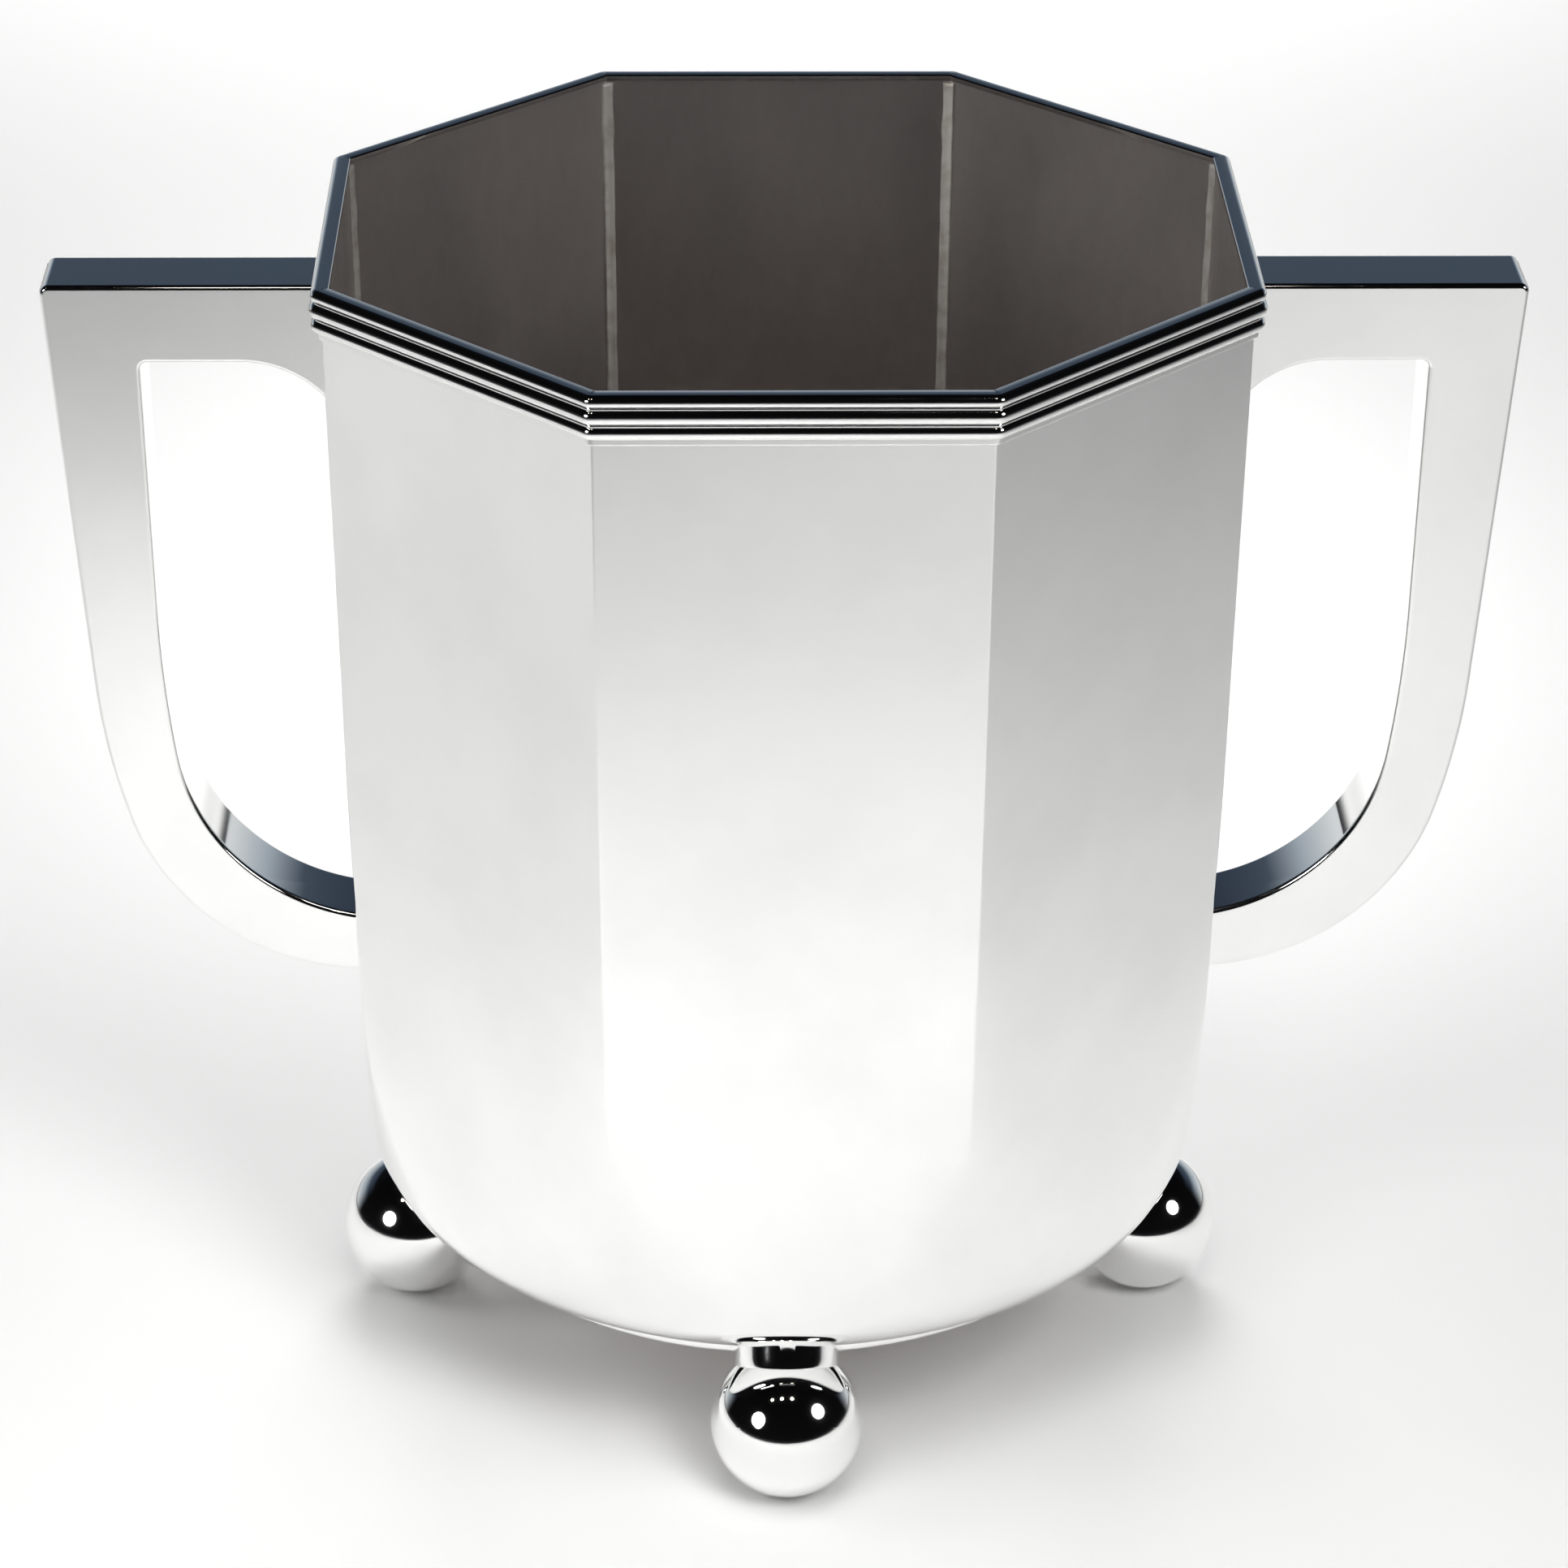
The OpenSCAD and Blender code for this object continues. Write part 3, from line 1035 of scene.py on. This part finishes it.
@dataclass
class BallFeet:
    """Four hollow balls on waisted necks, each raised in two halves."""

    wall: Wall
    ball_r: float = 17 * MM
    sheet: float = 1.2 * MM
    worn_r: float = 3 * MM
    distance: float = 86.2 * MM
    tilt: float = math.radians(27)  # how far the neck, and the seam of the halves with it, leans in
    neck_r: float = 11.6 * MM
    waist: float = 15.0 * MM  # height of the waist above the ball's centre
    shoulder: float = 18.2 * MM  # where the neck starts to dome over
    dome: float = 6.0 * MM
    leave_angle: float = 47.5  # degrees from the equator at which the neck leaves the ball
    bend_share: float = 0.9  # how far up the ball's tangent the neck's fillet bends
    dome_steps: int = 20
    fillet_steps: int = 18
    ball_steps: int = 26
    bowl_steps: int = 60
    hollow_steps: int = 30
    steps: int = 144

    def upper_outline(self, inset: float) -> list[tuple[float, float]]:
        """Outline of the upper half from its top down to the equator.

        Args:
            inset: Distance inside the outer face.

        Returns:
            (radius, height above the ball's centre), clockwise.
        """
        neck, ball = self.neck_r - inset, self.ball_r - inset
        dome = [
            (neck * math.sin(a), self.shoulder - inset / 2 + (self.dome - inset) * math.cos(a))
            for a in (math.radians(90) * i / self.dome_steps for i in range(self.dome_steps + 1))
        ]
        leave = math.radians(self.leave_angle)
        join = Vector((ball * math.cos(leave), ball * math.sin(leave)))
        start = Vector((neck, self.waist))
        rise = (join.x - neck) * math.tan(math.radians(90 - self.leave_angle)) * self.bend_share
        bend = Vector((neck, join.y + rise))
        fillet = []
        for i in range(self.fillet_steps):
            t = i / self.fillet_steps
            point = start * (1 - t) ** 2 + bend * (2 * t * (1 - t)) + join * t * t
            fillet.append((point.x, point.y))
        return dome + fillet + arc((0, 0), ball, self.leave_angle, 0, self.ball_steps)

    def build(self, finishes: Finishes, tree: bpy.types.NodeTree) -> None:
        """Builds both halves of each foot and hangs them under the root body.

        Args:
            finishes: The shared materials.
            tree: The turning tree.
        """
        height = math.sqrt(self.ball_r**2 - self.worn_r**2)
        upper = self.upper_outline(0.0) + list(reversed(self.upper_outline(self.sheet)))
        lower = arc((0, 0), self.ball_r - self.sheet, -90, 0, self.hollow_steps)
        lower += arc((0, 0), self.ball_r, 0, -90, self.bowl_steps)
        for k in FOOT_SIDES:
            place = {
                "Steps": self.steps, "Tilt": -self.tilt, "Distance_Out": self.distance,
                "Height": height, "Turn": k * SIDE_TURN, "Seat_Radius": self.wall.floor_r,
                "Seat_Height": self.wall.underside_z + self.wall.small_r,
                "Seat_Curve": self.wall.small_r - self.wall.sheet / 2,
            }
            for half, points in (("upper", upper), ("lower", lower)):
                name = f"foot_{half}_half_{SIDES[k]}"
                piece = turn_piece(name, points, False, tree, finishes.polished, **place)
                keep_piece(piece, Slot.POLISHED, f"foot_{half}_{SIDES[k]}")


@dataclass
class Base:
    """The floor of the bucket and the wire that backs its seam."""

    wall: Wall
    ring_outer_r: float = 78.6 * MM
    ring_inner_r: float = 71.5 * MM
    ring_h: float = 4.8 * MM
    ring_edge_r: float = 1.6 * MM
    dish: float = 0.5 * MM  # how far the floor's middle is sunk
    edge_steps: int = 8
    floor_steps: int = 24
    steps: int = 240

    def build(self, finishes: Finishes, tree: bpy.types.NodeTree) -> bpy.types.Object:
        """Args:
            finishes: The shared materials.
            tree: The turning tree.

        Returns:
            The floor.
        """
        top, edge = self.wall.underside_z, self.ring_edge_r
        low = top - self.ring_h
        ring = [(self.ring_inner_r, top), (self.ring_outer_r, top)]
        ring += arc((self.ring_outer_r - edge, low + edge), edge, 0, -90, self.edge_steps)
        ring += arc((self.ring_inner_r + edge, low + edge), edge, -90, -180, self.edge_steps)
        piece = turn_piece("base_wire", ring, True, tree, finishes.polished, Steps=self.steps)
        keep_piece(piece, Slot.POLISHED, "base_ring")
        radius, sheet = self.wall.floor_r, self.wall.sheet
        shares = [i / self.floor_steps for i in range(self.floor_steps + 1)]
        floor = [(radius * s, top + sheet - self.dish * (1 - s * s)) for s in shares]
        floor += [(radius * s, top) for s in reversed(shares)]
        piece = turn_piece("floor_plate", floor, False, tree, finishes.satin, Steps=self.steps)
        return keep_piece(piece, Slot.SATIN, "bottom_plate")


# ---------------------------------------------------------------- handles


@dataclass
class Handle:
    """A hollow handle made up from two cheeks, a top plate and two bands."""

    plan: Plan
    hand: Hand
    reach: float = 160.5 * MM
    thick: float = 18.5 * MM
    sheet: float = 1.2 * MM
    top: float = 256.5 * MM
    arm_h: float = 17.7 * MM
    leg_lean: float = 4.18  # leans and turns are in degrees
    leg_l: float = 94.3 * MM
    leg_r: tuple[float, float] = (159.3 * MM, 55.5 * MM)
    leg_turn: float = 12.2
    gap_x: float = 139.7 * MM
    gap_lean: float = 0.98
    gap_leg_l: float = 59.3 * MM
    gap_r: tuple[float, float] = (290.7 * MM, 47.4 * MM)
    gap_turn: float = 7.1
    shoulder_x: float = 118.2 * MM
    shoulder_r: float = 24 * MM
    corner_r: float = 1.8 * MM  # rounding of the outer top corner
    gap_corner_r: float = 1.6 * MM  # rounding of the gap's top corner
    edge_r: float = 0.95 * MM  # rounding of the long edges
    into_wall: float = 0.3 * MM
    at_wall: float = 0.05 * MM  # edges this close to the wall are left square
    sharp_cheek: float = math.radians(40)
    corner_steps: int = 6
    gap_corner_steps: int = 8
    shoulder_steps: int = 24
    leg_steps: tuple[int, int] = (14, 52)
    edge_segments: int = 4
    flat_weight: int = 100  # how much the flats outweigh the rounded edges in the shading

    def wall_x(self, z: float) -> float:
        """Distance from the axis at which the handle stops, just inside the wall's face."""
        return self.plan.apothem(z) - self.into_wall

    def leg(self, x: float, z: float, lean: float, length: float, radii: tuple[float, float],
            turn: float, inset: float) -> list[tuple[float, float]]:
        """Points down one edge of the leg and in to the wall.

        Args:
            x: Where the edge starts, along X.
            z: The height at which it starts.
            lean: Inward lean of the straight stretch, in degrees.
            length: Length of the straight stretch.
            radii: Radii of the two arcs that follow.
            turn: How many degrees the first arc turns through.
            inset: How far the edge is moved in, towards the arcs' centres.

        Returns:
            The points from the bottom of the straight stretch to past the wall.
        """
        slope = math.radians(lean)
        end = Vector((x - length * math.sin(slope), z - length * math.cos(slope)))
        first = end + radii[0] * Vector((-math.cos(slope), math.sin(slope)))
        middle = math.radians(lean + turn)
        second = first + (radii[0] - radii[1]) * Vector((math.cos(middle), -math.sin(middle)))
        points = arc(tuple(first), radii[0] - inset, -lean, -lean - turn, self.leg_steps[0])
        points += arc(tuple(second), radii[1] - inset, -lean - turn, -90, self.leg_steps[1])[1:]
        return points

    def stop_at_wall(self, points: list[tuple[float, float]]) -> list[tuple[float, float]]:
        """Ends a run of points where it meets the wall.

        Args:
            points: Points that lead to the wall and past it.

        Returns:
            The points outside the wall, and the point on it.
        """
        kept = []
        for x, z in points:
            if x < self.wall_x(z):
                last_x, last_z = kept[-1]
                start, end = last_x - self.wall_x(last_z), x - self.wall_x(z)
                share = start / (start - end)
                kept.append((last_x + (x - last_x) * share, last_z + (z - last_z) * share))
                break
            kept.append((x, z))
        return kept

    def outer_edge(self, inset: float, corner_r: float, top: float) -> list[tuple[float, float]]:
        """The outer edge, from its top corner to the wall.

        Args:
            inset: How far it is moved in.
            corner_r: Rounding of the top corner, or 0.
            top: The height of the corner.

        Returns:
            The points, clockwise.
        """
        slope = math.tan(math.radians(self.leg_lean))
        x = self.reach - inset / math.cos(math.radians(self.leg_lean)) - (self.top - top) * slope
        points = [(x, top)]
        if corner_r:
            centre = (x - corner_r * (1 + slope / 2), top - corner_r)
            points = arc(centre, corner_r, 90, -self.leg_lean, self.corner_steps)
        points += self.leg(self.reach, self.top, self.leg_lean, self.leg_l, self.leg_r, self.leg_turn, inset)
        return self.stop_at_wall(points)

    def gap_edge(self, inset: float) -> list[tuple[float, float]]:
        """The gap's edge, from the wall along the arm, down the leg and back to the wall.

        Args:
            inset: A negative value makes the gap larger.

        Returns:
            The points, clockwise.
        """
        top = self.top - self.arm_h - inset
        x = self.gap_x - inset / math.cos(math.radians(self.gap_lean))
        centre = (self.shoulder_x, self.top - self.arm_h - self.shoulder_r)
        shoulder = arc(centre, self.shoulder_r - inset, 90, 180, self.shoulder_steps)
        shoulder = list(reversed(self.stop_at_wall(shoulder)))
        radius = self.gap_corner_r - inset
        corner = arc((x - radius, top - radius), radius, 90, -self.gap_lean, self.gap_corner_steps)
        leg = self.leg(
            self.gap_x, self.top - self.arm_h, self.gap_lean, self.gap_leg_l, self.gap_r,
            self.gap_turn, inset,
        )
        return shoulder + self.stop_at_wall(corner + leg)

    def plate(self, name: str, outline: list[tuple[float, float]], near: float, far: float,
              rounded: float | None = None) -> bpy.types.Object:
        """A flat plate or a bent band, standing in the plane of the handle.

        Args:
            name: The piece's name.
            outline: (x, z) of its edge.
            near: The lower y of its two faces.
            far: The higher y.
            rounded: The y of the face whose edges are rounded, if any.

        Returns:
            The piece.
        """
        sign = self.hand.value
        form = bmesh.new()
        rings = []
        for y in (near, far):
            rings.append([form.verts.new((sign * x, y, z)) for x, z in outline])
        for ring in rings:
            form.faces.new(ring)
        count = len(outline)
        for i in range(count):
            j = (i + 1) % count
            form.faces.new((rings[0][i], rings[0][j], rings[1][j], rings[1][i]))
        bmesh.ops.recalc_face_normals(form, faces=form.faces)
        if rounded is not None:
            edges = []
            for edge in form.edges:
                ends = [v.co for v in edge.verts]
                if any(abs(co.y - rounded) > MERGE_WITHIN for co in ends):
                    continue
                if all(abs(abs(co.x) - self.wall_x(co.z)) < self.at_wall for co in ends):
                    continue
                edges.append(edge)
            bmesh.ops.bevel(
                form, geom=edges, offset=self.edge_r, offset_type="OFFSET", profile=0.5,
                segments=self.edge_segments, affect="EDGES", clamp_overlap=False,
            )
        mesh = bpy.data.meshes.new(name)
        form.to_mesh(mesh)
        form.free()
        obj = add_object(name, mesh)
        mesh.polygons.foreach_set("use_smooth", [True] * len(mesh.polygons))
        mesh.set_sharp_from_angle(angle=SHARP_SHEET if rounded is None else self.sharp_cheek)
        weighted = obj.modifiers.new("flat_faces_stay_flat", "WEIGHTED_NORMAL")
        weighted.weight = self.flat_weight
        weighted.keep_sharp = True
        bake(obj)
        return obj

    def build(self, finishes: Finishes) -> None:
        """Args:
            finishes: The shared materials.
        """
        hand = self.hand.name.lower()
        half, inner = self.thick / 2, self.thick / 2 - self.sheet
        cheek = [(self.wall_x(self.top), self.top)] + self.outer_edge(0.0, self.corner_r, self.top)
        cheek += list(reversed(self.gap_edge(0.0)))
        under = self.top - self.sheet
        band_top = self.outer_edge(self.sheet, 0.0, under)
        outer_band = self.outer_edge(0.0, 0.0, under) + list(reversed(band_top))
        inner_band = self.gap_edge(0.0) + list(reversed(self.gap_edge(-self.sheet)))
        plate = [(self.wall_x(self.top), self.top)]
        plate += self.outer_edge(0.0, self.corner_r, self.top)[: self.corner_steps + 1]
        slope = math.tan(math.radians(self.leg_lean))
        plate += [(self.reach - self.sheet * slope, under), (self.wall_x(under), under)]
        made = (
            ("front_cheek", cheek, -half, -inner, -half),
            ("back_cheek", cheek, inner, half, half),
            ("top_plate", plate, -inner, inner, None),
            ("outer_band", outer_band, -inner, inner, None),
            ("inner_band", inner_band, -inner, inner, None),
        )
        for part, outline, near, far, rounded in made:
            piece = self.plate(f"{hand}_handle_{part}", outline, near, far, rounded)
            piece.data.materials.append(finishes.polished)
            keep_piece(piece, Slot.POLISHED, f"handle_{hand}_{part}")


# ---------------------------------------------------------------- studio


@dataclass
class Studio:
    """A pale floor, soft lights, a dim room to reflect, and the camera."""

    floor_colour: str = "F5F5F4"
    floor_size: float = 8.0
    camera_place: tuple[float, float, float] = (-0.02095, -1.05513, 0.66152)
    yaw: float = math.radians(1.156)
    pitch: float = math.radians(26.646)
    roll: float = math.radians(0.334)
    lens: float = 119.19
    sensor: float = 36.0
    lamp_aim: tuple[float, float, float] = (0.0, 0.0, 0.1)
    lamp_sides: int = 48
    # Heights behind the bucket: a pale wall, then a slate-blue upper wall and ceiling.
    back_bands: tuple[tuple[float, str], ...] = (
        (0.0, "D2D6D8"), (0.2, "9BA5AF"), (0.34, "414C59"),
        (0.45, "323B49"), (0.53, "0E1013"), (1.0, "060607"),
    )
    # Heights in front of it: dark almost from the floor up.
    front_bands: tuple[tuple[float, str], ...] = ((0.0, "2A2A2B"), (0.06, "0C0C0D"), (1.0, "060607"))
    back_reach: tuple[float, float] = (0.2, 0.62)  # where the front's bands give way to the back's

    def build_floor(self) -> None:
        """Lays the plain pale floor."""
        half = self.floor_size / 2
        mesh = bpy.data.meshes.new("floor")
        corners = [(-half, -half, 0), (half, -half, 0), (half, half, 0), (-half, half, 0)]
        mesh.from_pydata(corners, [], [(0, 1, 2, 3)])
        material = bpy.data.materials.new("matt_white_paper")
        material.use_nodes = True
        shader = material.node_tree.nodes["Principled BSDF"]
        shader.inputs["Base Color"].default_value = linear(self.floor_colour)
        shader.inputs["Roughness"].default_value = 0.9
        shader.inputs["Specular IOR Level"].default_value = 0.0
        mesh.materials.append(material)
        add_object("floor", mesh)

    def add_light(self, name: str, place: tuple, aim: tuple, size: tuple,
                  power: float) -> bpy.types.Object:
        """Hangs a softbox that lights the floor but isn't seen in the silver.

        Args:
            name: The light's name.
            place: Where it hangs.
            aim: The point that it faces.
            size: Its width and depth.
            power: In watts.

        Returns:
            The light's object.
        """
        data = bpy.data.lights.new(name, "AREA")
        data.shape = "RECTANGLE"
        data.size, data.size_y = size
        data.energy = power
        light = add_object(name, data)
        light.location = place
        light.rotation_euler = (Vector(aim) - Vector(place)).to_track_quat("-Z", "Y").to_euler()
        light.visible_glossy = False
        light.visible_camera = False
        return light

    def add_card(self, name: str, place: tuple, radius: float, strength: float, colour: str) -> None:
        """Hangs a round lamp that is seen only in the silver.

        Args:
            name: The card's name.
            place: Its centre; it faces the bucket.
            radius: Its radius.
            strength: How bright it looks.
            colour: Its sRGB hex colour.
        """
        facing = (Vector(self.lamp_aim) - Vector(place)).to_track_quat("Z", "Y").to_matrix()
        rim = [
            facing @ Vector((radius * math.cos(a), radius * math.sin(a), 0)) + Vector(place)
            for a in (math.tau * i / self.lamp_sides for i in range(self.lamp_sides))
        ]
        mesh = bpy.data.meshes.new(name)
        mesh.from_pydata(rim, [], [tuple(range(self.lamp_sides))])
        card = add_object(name, mesh)
        material, tree, _ = start_finish(f"{name}_glow")
        glow = add_node(tree, "ShaderNodeEmission", {"Color": linear(colour), "Strength": strength})
        add_node(tree, "ShaderNodeOutputMaterial", {"Surface": glow.outputs[0]})
        mesh.materials.append(material)
        card.visible_camera = False
        card.visible_diffuse = False
        card.visible_shadow = False
        card.visible_transmission = False

    def build_room(self) -> None:
        """Makes the dim room that the silver reflects above the floor."""
        world = bpy.data.worlds.new("dim_room")
        bpy.context.scene.world = world
        world.use_nodes = True
        tree = world.node_tree
        tree.nodes.clear()
        way = add_node(tree, "ShaderNodeTexCoord").outputs["Generated"]
        parts = add_node(tree, "ShaderNodeSeparateXYZ", {0: way})
        front, back = (
            set_stops(
                add_node(tree, "ShaderNodeValToRGB", {"Fac": parts.outputs["Z"]}),
                [(height, linear(colour)) for height, colour in bands],
            )
            for bands in (self.front_bands, self.back_bands)
        )
        share = add_node(
            tree, "ShaderNodeMapRange",
            {"Value": parts.outputs["Y"], "From Min": self.back_reach[0], "From Max": self.back_reach[1],
             "To Min": 0.0, "To Max": 1.0},
            interpolation_type="SMOOTHSTEP",
        )
        # Sockets 6 and 7 are the two colours of a colour mix.
        mixed = add_node(
            tree, "ShaderNodeMix",
            {"Factor": share.outputs["Result"], 6: front.outputs["Color"], 7: back.outputs["Color"]},
            data_type="RGBA",
        )
        glow = add_node(tree, "ShaderNodeBackground", {"Color": mixed.outputs[2], "Strength": 1.0})
        add_node(tree, "ShaderNodeOutputWorld", {"Surface": glow.outputs[0]})

    def build_camera(self) -> None:
        """Sets up the camera, in front and above, looking down at the bucket."""
        ahead = Vector((
            math.sin(self.yaw) * math.cos(self.pitch), math.cos(self.yaw) * math.cos(self.pitch),
            -math.sin(self.pitch),
        ))
        level = Vector((math.cos(self.yaw), -math.sin(self.yaw), 0))
        upright = level.cross(ahead)
        right = math.cos(self.roll) * level + math.sin(self.roll) * upright
        up = math.cos(self.roll) * upright - math.sin(self.roll) * level
        data = bpy.data.cameras.new("camera")
        data.lens = self.lens
        data.sensor_width = self.sensor
        data.clip_start, data.clip_end = 0.01, 50.0
        camera = add_object("camera", data)
        basis = Matrix((right, up, -ahead)).transposed().to_4x4()
        camera.matrix_world = Matrix.Translation(Vector(self.camera_place)) @ basis
        bpy.context.scene.camera = camera

    def build(self, lit_inside: list[bpy.types.Object]) -> None:
        """Builds the whole studio.

        Args:
            lit_inside: The pieces that the box over the mouth lights.
        """
        bpy.context.scene.view_settings.view_transform = "Standard"
        self.build_floor()
        self.build_room()
        self.build_camera()
        # Each box lights the stretch of floor that one side of the bucket mirrors.
        self.add_light("far_box", (0.0, 1.3, 0.9), (0.0, 1.2, 0.0), (0.9, 0.4), 12.5)
        self.add_light("back_box", (0.0, 0.34, 0.3), (0.0, 0.36, 0.0), (0.42, 0.35), 1.2)
        self.add_light("front_box", (0.0, -0.23, 0.34), (0.0, -0.19, 0.0), (0.22, 0.25), 0.74)
        self.add_light("left_box", (-0.75, -0.05, 0.45), (-0.4, -0.1, 0.0), (0.35, 0.35), 1.38)
        self.add_light("left_front_box", (-0.22, -0.34, 0.25), (-0.16, -0.2, 0.0), (0.2, 0.2), 0.22)
        self.add_light("right_front_box", (0.36, -0.7, 0.7), (0.14, -0.34, 0.0), (0.35, 0.35), 3.9)
        # This one reaches the inside through the mouth. It lights the pieces it is given, on both faces.
        inside = self.add_light("mouth_box", (-0.42, -0.05, 0.85), (0.0, 0.0, 0.1), (0.3, 0.3), 0.9)
        inside.visible_glossy = True
        inside.light_linking.receiver_collection = bpy.data.collections.new("lit_through_the_mouth")
        for piece in lit_inside:
            inside.light_linking.receiver_collection.objects.link(piece)
        self.add_card("left_lamp", (-1.34, -1.22, 0.82), 0.36, 6.0, "FFFFFF")
        self.add_card("right_lamp", (1.42, -0.92, 1.07), 0.34, 6.0, "FFFFFF")
        for i in range(3):
            self.add_card(f"ceiling_lamp_{i}", (-0.74 + 0.49 * i, -0.86, 1.78), 0.07, 9.0, "FFF6E6")


def main() -> None:
    """Builds the bucket and the studio."""
    logging.basicConfig(level=logging.INFO, format="%(name)s %(message)s", stream=sys.stdout)
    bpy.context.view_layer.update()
    finishes = Finishes(PolishedSilver().make(), SatinSilver().make(), SilverSolder().make())
    plan = Plan()
    wall = Wall(plan)
    inside = wall.build(finishes)
    inside.append(CornerSeams(plan, wall).build(finishes))
    RimMoulding(plan).build(finishes)
    turning = turned_tree()
    BallFeet(wall).build(finishes, turning)
    inside.append(Base(wall).build(finishes, turning))
    for hand in Hand:
        Handle(plan, hand).build(finishes)
    Studio().build(inside)


if __name__ == "__main__":
    main()
